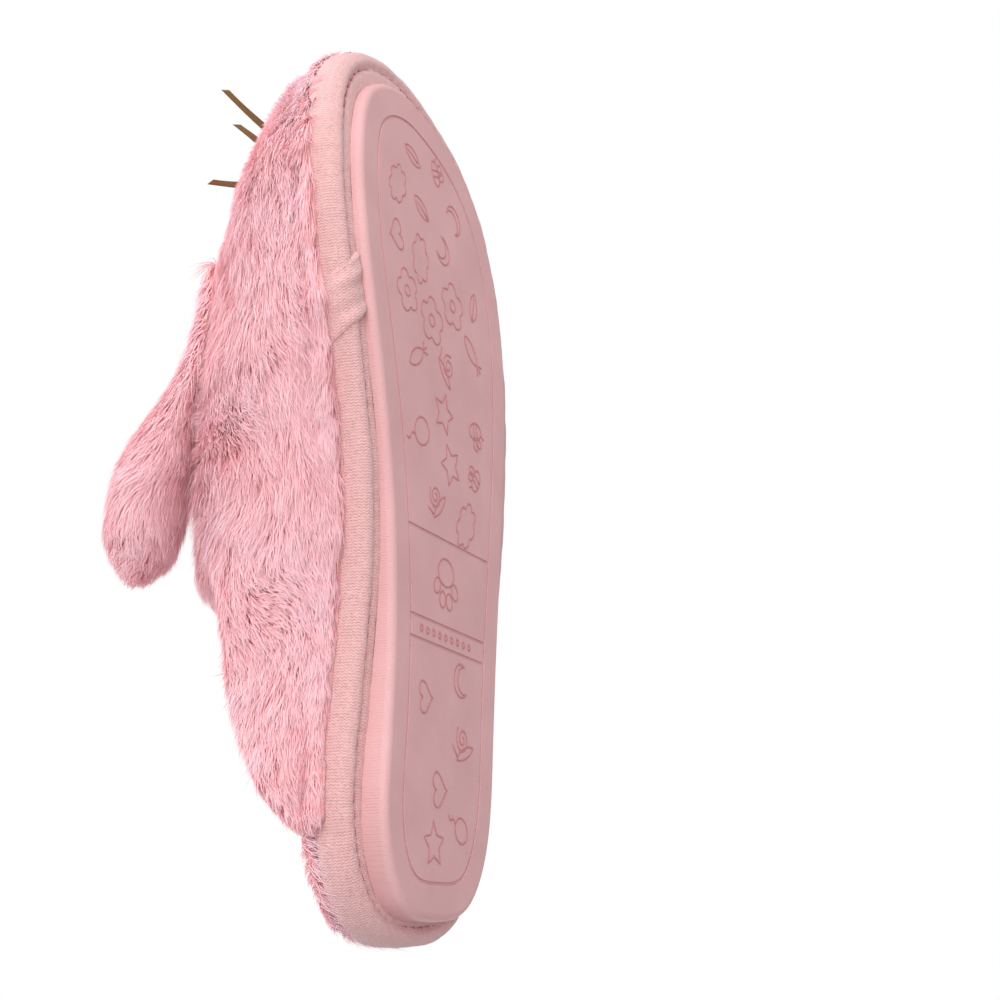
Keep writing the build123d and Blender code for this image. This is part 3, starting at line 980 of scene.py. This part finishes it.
MOTIFS = {
    "blossom": ([lobed(5.2, 5, 0.3), circle(1.5)], []),
    "cloud": ([lobed(5.0, 7, 0.22) * (1.25, 0.8)], []),
    "star": ([star(5.4)], []),
    "heart": ([heart(4.2)], []),
    "bee": (
        [circle(3.6, stretch=0.62), circle(1.9, -0.4, 3.4, 0.7, 1.2), circle(1.7, 1.4, 3.1, 0.7, 0.6)],
        [stroke((-0.9, 2.1), (-0.9, -2.1)), stroke((0.9, 2.1), (0.9, -2.1)),
         stroke((3.4, 0.8), (4.8, 2.2))],
    ),
    "snail": ([lens(9.5, 2.4) + (0, -3.4)], [spiral(3.4, 2.2), stroke((4.2, -3.0), (5.6, 0.4))]),
    "balloon": (
        [circle(3.3, 0, 2.2, 1.15)], [stroke((0, -1.6), (0.7, -3.2), (-0.6, -4.8), (0.3, -6.2))]),
    "carrot": (
        [lens(9.0, 3.8)],
        [stroke((4.3, 0), end) for end in ((6.4, 1.8), (6.9, 0), (6.4, -1.8))]),
    "leaf": ([lens(9.5, 4.6)], [stroke((-4.2, 0), (3.2, 0))]),
    "moon": ([moon(4.4)], []),
}
PAW = (
    [circle(5.0, 0, -3.2, 0.8)] + [circle(1.9, x, y, 1.25, t) for x, y, t in
     ((-5.6, 1.4, 0.5), (-2.1, 4.8, 0.15), (2.1, 4.8, -0.15), (5.6, 1.4, -0.5))], [],
)


def motif_beads(motif, x, y, turn, size):
    c, s = math.cos(turn), math.sin(turn)
    matrix = np.array([[c, s], [-s, c]]) * size
    beads = []
    for shapes, closed in ((motif[0], True), (motif[1], False)):
        for shape in shapes:
            plan = shape @ matrix + (x, y)
            line = np.column_stack([plan, toe_rise(plan[:, 1]) - 0.02])
            beads.append(tube(line, 0.36, flat=0.4, closed=closed))
    return beads


def make_motifs():
    """Little outline pictures raised on the tread, a paw and a row of dots in its heel panel."""
    rng = np.random.default_rng(71)
    at, _, inward, _, _ = rim_frame(400)
    taken, beads = [], []
    names = sorted(MOTIFS)
    for _ in range(MOTIF_TRIES):
        spot = rng.uniform((-60, -130), (60, 130))
        if WAIST_FROM < spot[1] < WAIST_TO:
            continue
        gap = np.linalg.norm(at - spot, axis=1)
        close = gap.argmin()
        inside = (spot - at[close]) @ inward[close] > 0
        if not inside or gap[close] < GROOVE_INSET + MOTIF_MARGIN:
            continue
        if taken and np.linalg.norm(np.array(taken) - spot, axis=1).min() < MOTIF_APART:
            continue
        taken.append(spot)
        motif = MOTIFS[names[(len(taken) * 7) % len(names)]]
        beads += motif_beads(motif, *spot, rng.uniform(0, 2 * math.pi), rng.uniform(1.05, 1.3))
    beads += motif_beads(PAW, 2, 29, 0.0, 1.05)
    for i in range(9):
        beads += motif_beads(([circle(0.9, steps=10)], []), -14 + 4 * i, 45.2, 0.0, 1.0)
    motifs = joined("sole_motifs", beads, MOTIF_TINT_AND_SHADE)
    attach(motifs, "slipper")


# --- insole --------------------------------------------------------------------------------
def make_sock():
    """Plush insole: a soft cushion with a short pile and a fringe at the open heel."""
    rng = np.random.default_rng(81)
    sock = soft_copy("sock_cushion", ["sock_lining"], 1.3, 6)
    verts, normals, tris = mesh_arrays(sock)
    crown = 0.6 * Waves(82, 34)(verts) * smoothstep(0.3, 0.9, normals[:, 2])
    set_vertices(sock, verts + normals * (crown - 1.3)[:, None])
    sock.data.materials.append(FUR_BASE)
    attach(sock, "slipper")
    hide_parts("sock_lining")
    verts, normals, tris = mesh_arrays(sock)
    heel = smoothstep(60, 110, verts[:, 1])
    rimmed = smoothstep(0.8, 0.3, normals[:, 2])
    weight = smoothstep(-0.6, -0.1, normals[:, 2]) * (1 + heel * (1.2 + 4.0 * rimmed))
    roots, out = scatter(verts, normals, tris, weight, SOCK_STRANDS, rng)
    turn = rng.uniform(-0.9, 0.9, len(roots)) + 1.2 * Waves(83, 30)(roots)
    edge = smoothstep(0.75, 0.2, out[:, 2])
    lie = np.stack([0 * edge, 1 - edge, -1.4 * edge], 1)
    base = unit(across(lie, out) + 1e-5)
    turn *= 1 - 0.5 * edge
    flow = turned(base, out, turn)
    length = SOCK_PILE * (1 + 1.7 * edge) * (1 + 0.18 * rng.normal(size=len(roots))).clip(0.6, 1.4)
    lean = np.clip(0.5 + 0.3 * edge + 0.2 * rng.normal(size=len(roots)), 0.1, 1.0)
    lines = strand_paths(roots, out, flow, length, lean, rng, SOCK_TUFTS)
    width = STRAND * rng.uniform(0.75, 1.2, len(roots))
    tone = 0.3 - 0.8 * edge + 0.15 * Waves(84, 20)(roots) + 0.15 * rng.normal(size=len(roots))
    fur_pieces("sock_fur", lines, out, width, tone, rng, FUR, "slipper")


# --- face ----------------------------------------------------------------------------------
def own_axes(node):
    """Centre, axes and half sizes of a CAD node, its longest axis first."""
    verts = mesh_arrays(frame["nodes"][node])[0]
    centre = (verts.min(0) + verts.max(0)) / 2
    axes = np.linalg.svd(verts - verts.mean(0), full_matrices=False)[2]
    local = (verts - centre) @ axes.T
    middle = (local.min(0) + local.max(0)) / 2
    return centre + middle @ axes, axes, np.ptp(local, axis=0) / 2


def make_whiskers():
    for side in ("medial", "lateral"):
        for row, bow in (("front", 1.0), ("middle", -0.7), ("rear", 0.9)):
            node = f"whisker_{side}_{row}"
            centre, axes, half = own_axes(node)
            outward_sign = np.sign(axes[0, 0]) * (-1 if side == "medial" else 1)
            along = axes[0] * outward_sign
            broad, thin = axes[1], np.cross(along, axes[1])
            steps = np.linspace(-1, 1, 30)
            edges = np.linspace(-1, 1, 6)
            outer = np.zeros((len(steps), len(edges), 3))
            inner = np.zeros_like(outer)
            for j, edge in enumerate(edges):
                reach = steps * half[0] - edge * 0.9 * smoothstep(0.4, 1, steps)
                narrow = 1 - 0.25 * smoothstep(-0.2, 1, steps)
                sag = bow * 1.3 * (1 - steps**2) - 0.12 * (edge**2)
                line = centre + np.outer(reach, along) + np.outer(edge * half[1] * narrow, broad)
                line = line + np.outer(sag, thin)
                outer[:, j] = line + thin * 0.28 * (1 - 0.5 * abs(edge))
                inner[:, j] = line - thin * 0.28 * (1 - 0.5 * abs(edge))
            uv = np.stack(np.broadcast_arrays((steps[:, None] + 1) * half[0], edges[None, :] + 1), 2)
            strip = thick_sheet(f"{node}_strip", outer, inner, uv, False, WHISKER)
            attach(strip, "slipper")
            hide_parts(node)


# --- scene ---------------------------------------------------------------------------------
FUR = fur_material("fur", PINK_TIP, PINK_MID, PINK_ROOT, CORAL_TIP, CORAL_ROOT)
FUR_BASE = simple_noise_material("fur_base", (0.94, 0.50, 0.52), (0.95, 0.58, 0.61), 1.2, 0.9, 0.4)
BINDING = binding_material()
EVA = eva_material()
WHISKER = whisker_material()
THREAD = simple_noise_material("seam_thread", (0.60, 0.13, 0.19), (0.76, 0.25, 0.32), 0.35, 0.6, 0.08)
# Dark colour of painted shade for the needle punctures of the seam.
HOLE_SHADE = simple_noise_material("painted_hole_shade", (0.26, 0.06, 0.07), (0.34, 0.09, 0.10), 1.0, 0.9, 0.02)
# The outlines' darker pink is partly their stamped colour and partly painted shade of engraved grooves.
MOTIF_TINT_AND_SHADE = simple_noise_material("sole_motif_tint_and_shade", (0.56, 0.205, 0.215), (0.62, 0.25, 0.26), 3.0, 0.6, 0.03)
NOSE = simple_noise_material("nose_plastic", (0.30, 0.05, 0.07), (0.38, 0.08, 0.10), 2.5, 0.45, 0.03)
EYE = simple_noise_material("eye_plastic", (0.008, 0.006, 0.006), (0.014, 0.010, 0.010), 6.0, 0.12, 0.01)


def dress(node, material):
    """Gives a CAD node that stays as it is its material."""
    slots = frame["nodes"][node].data.materials
    slots.clear()
    slots.append(material)


def make_floor():
    half, z = 2.0, -0.0003
    mesh = bpy.data.meshes.new("floor")
    corners = [(-half, -half, z), (half, -half, z), (half, half, z), (-half, half, z)]
    mesh.from_pydata(corners, [], [(0, 1, 2, 3)])
    floor = linked("floor", mesh)
    material = bpy.data.materials.new("floor")
    material.use_nodes = True
    nodes, links = material.node_tree.nodes, material.node_tree.links
    surface = nodes["Principled BSDF"]
    surface.inputs["Base Color"].default_value = (0.86, 0.86, 0.86, 1)
    surface.inputs["Roughness"].default_value = 0.8
    surface.inputs["Emission Color"].default_value = (1, 1, 1, 1)
    surface.inputs["Emission Strength"].default_value = 0.22
    clear = nodes.new("ShaderNodeBsdfTransparent")
    side = nodes.new("ShaderNodeNewGeometry")
    mix = nodes.new("ShaderNodeMixShader")
    links.new(side.outputs["Backfacing"], mix.inputs[0])
    links.new(surface.outputs[0], mix.inputs[1])
    links.new(clear.outputs[0], mix.inputs[2])
    links.new(mix.outputs[0], nodes["Material Output"].inputs["Surface"])
    mesh.materials.append(material)
    floor.visible_shadow = False
    floor.visible_diffuse = False
    floor.visible_glossy = False


def make_light(name, at, size, power):
    data = bpy.data.lights.new(name, "AREA")
    data.shape = "DISK"
    data.size = size
    data.energy = power
    lamp = linked(name, data)
    lamp.location = at
    lamp.rotation_euler = (Vector((0, 0, 0.04)) - Vector(at)).to_track_quat("-Z", "Y").to_euler()


def make_world():
    world = bpy.data.worlds.new("studio")
    bpy.context.scene.world = world
    world.use_nodes = True
    nodes, links = world.node_tree.nodes, world.node_tree.links
    backdrop = nodes["Background"]
    backdrop.inputs["Color"].default_value = (1, 1, 1, 1)
    backdrop.inputs["Strength"].default_value = 1.0
    soft = nodes.new("ShaderNodeBackground")
    soft.inputs["Color"].default_value = (0.98, 0.98, 1.0, 1)
    soft.inputs["Strength"].default_value = 0.58
    path = nodes.new("ShaderNodeLightPath")
    mix = nodes.new("ShaderNodeMixShader")
    links.new(path.outputs["Is Camera Ray"], mix.inputs[0])
    links.new(soft.outputs[0], mix.inputs[1])
    links.new(backdrop.outputs[0], mix.inputs[2])
    links.new(mix.outputs[0], nodes["World Output"].inputs["Surface"])


def make_camera():
    data = bpy.data.cameras.new("camera")
    data.lens = CAMERA_LENS
    data.sensor_width = 36
    data.clip_start = 0.01
    camera = linked("camera", data)
    camera.location = CAMERA_AT
    camera.rotation_euler = [math.radians(a) for a in CAMERA_TURN]
    bpy.context.scene.camera = camera


make_upper()
for seed, ear_side in ((61, "medial"), (62, "lateral")):
    make_ear(ear_side, seed)
make_binding()
make_sock()
make_motifs()
make_whiskers()
dress("outsole", EVA)
dress("nose", NOSE)
dress("eye_medial", EYE)
dress("eye_lateral", EYE)
make_floor()
make_world()
make_camera()
for lamp in LAMPS:
    make_light(*lamp)
bpy.context.scene.view_settings.view_transform = "Standard"
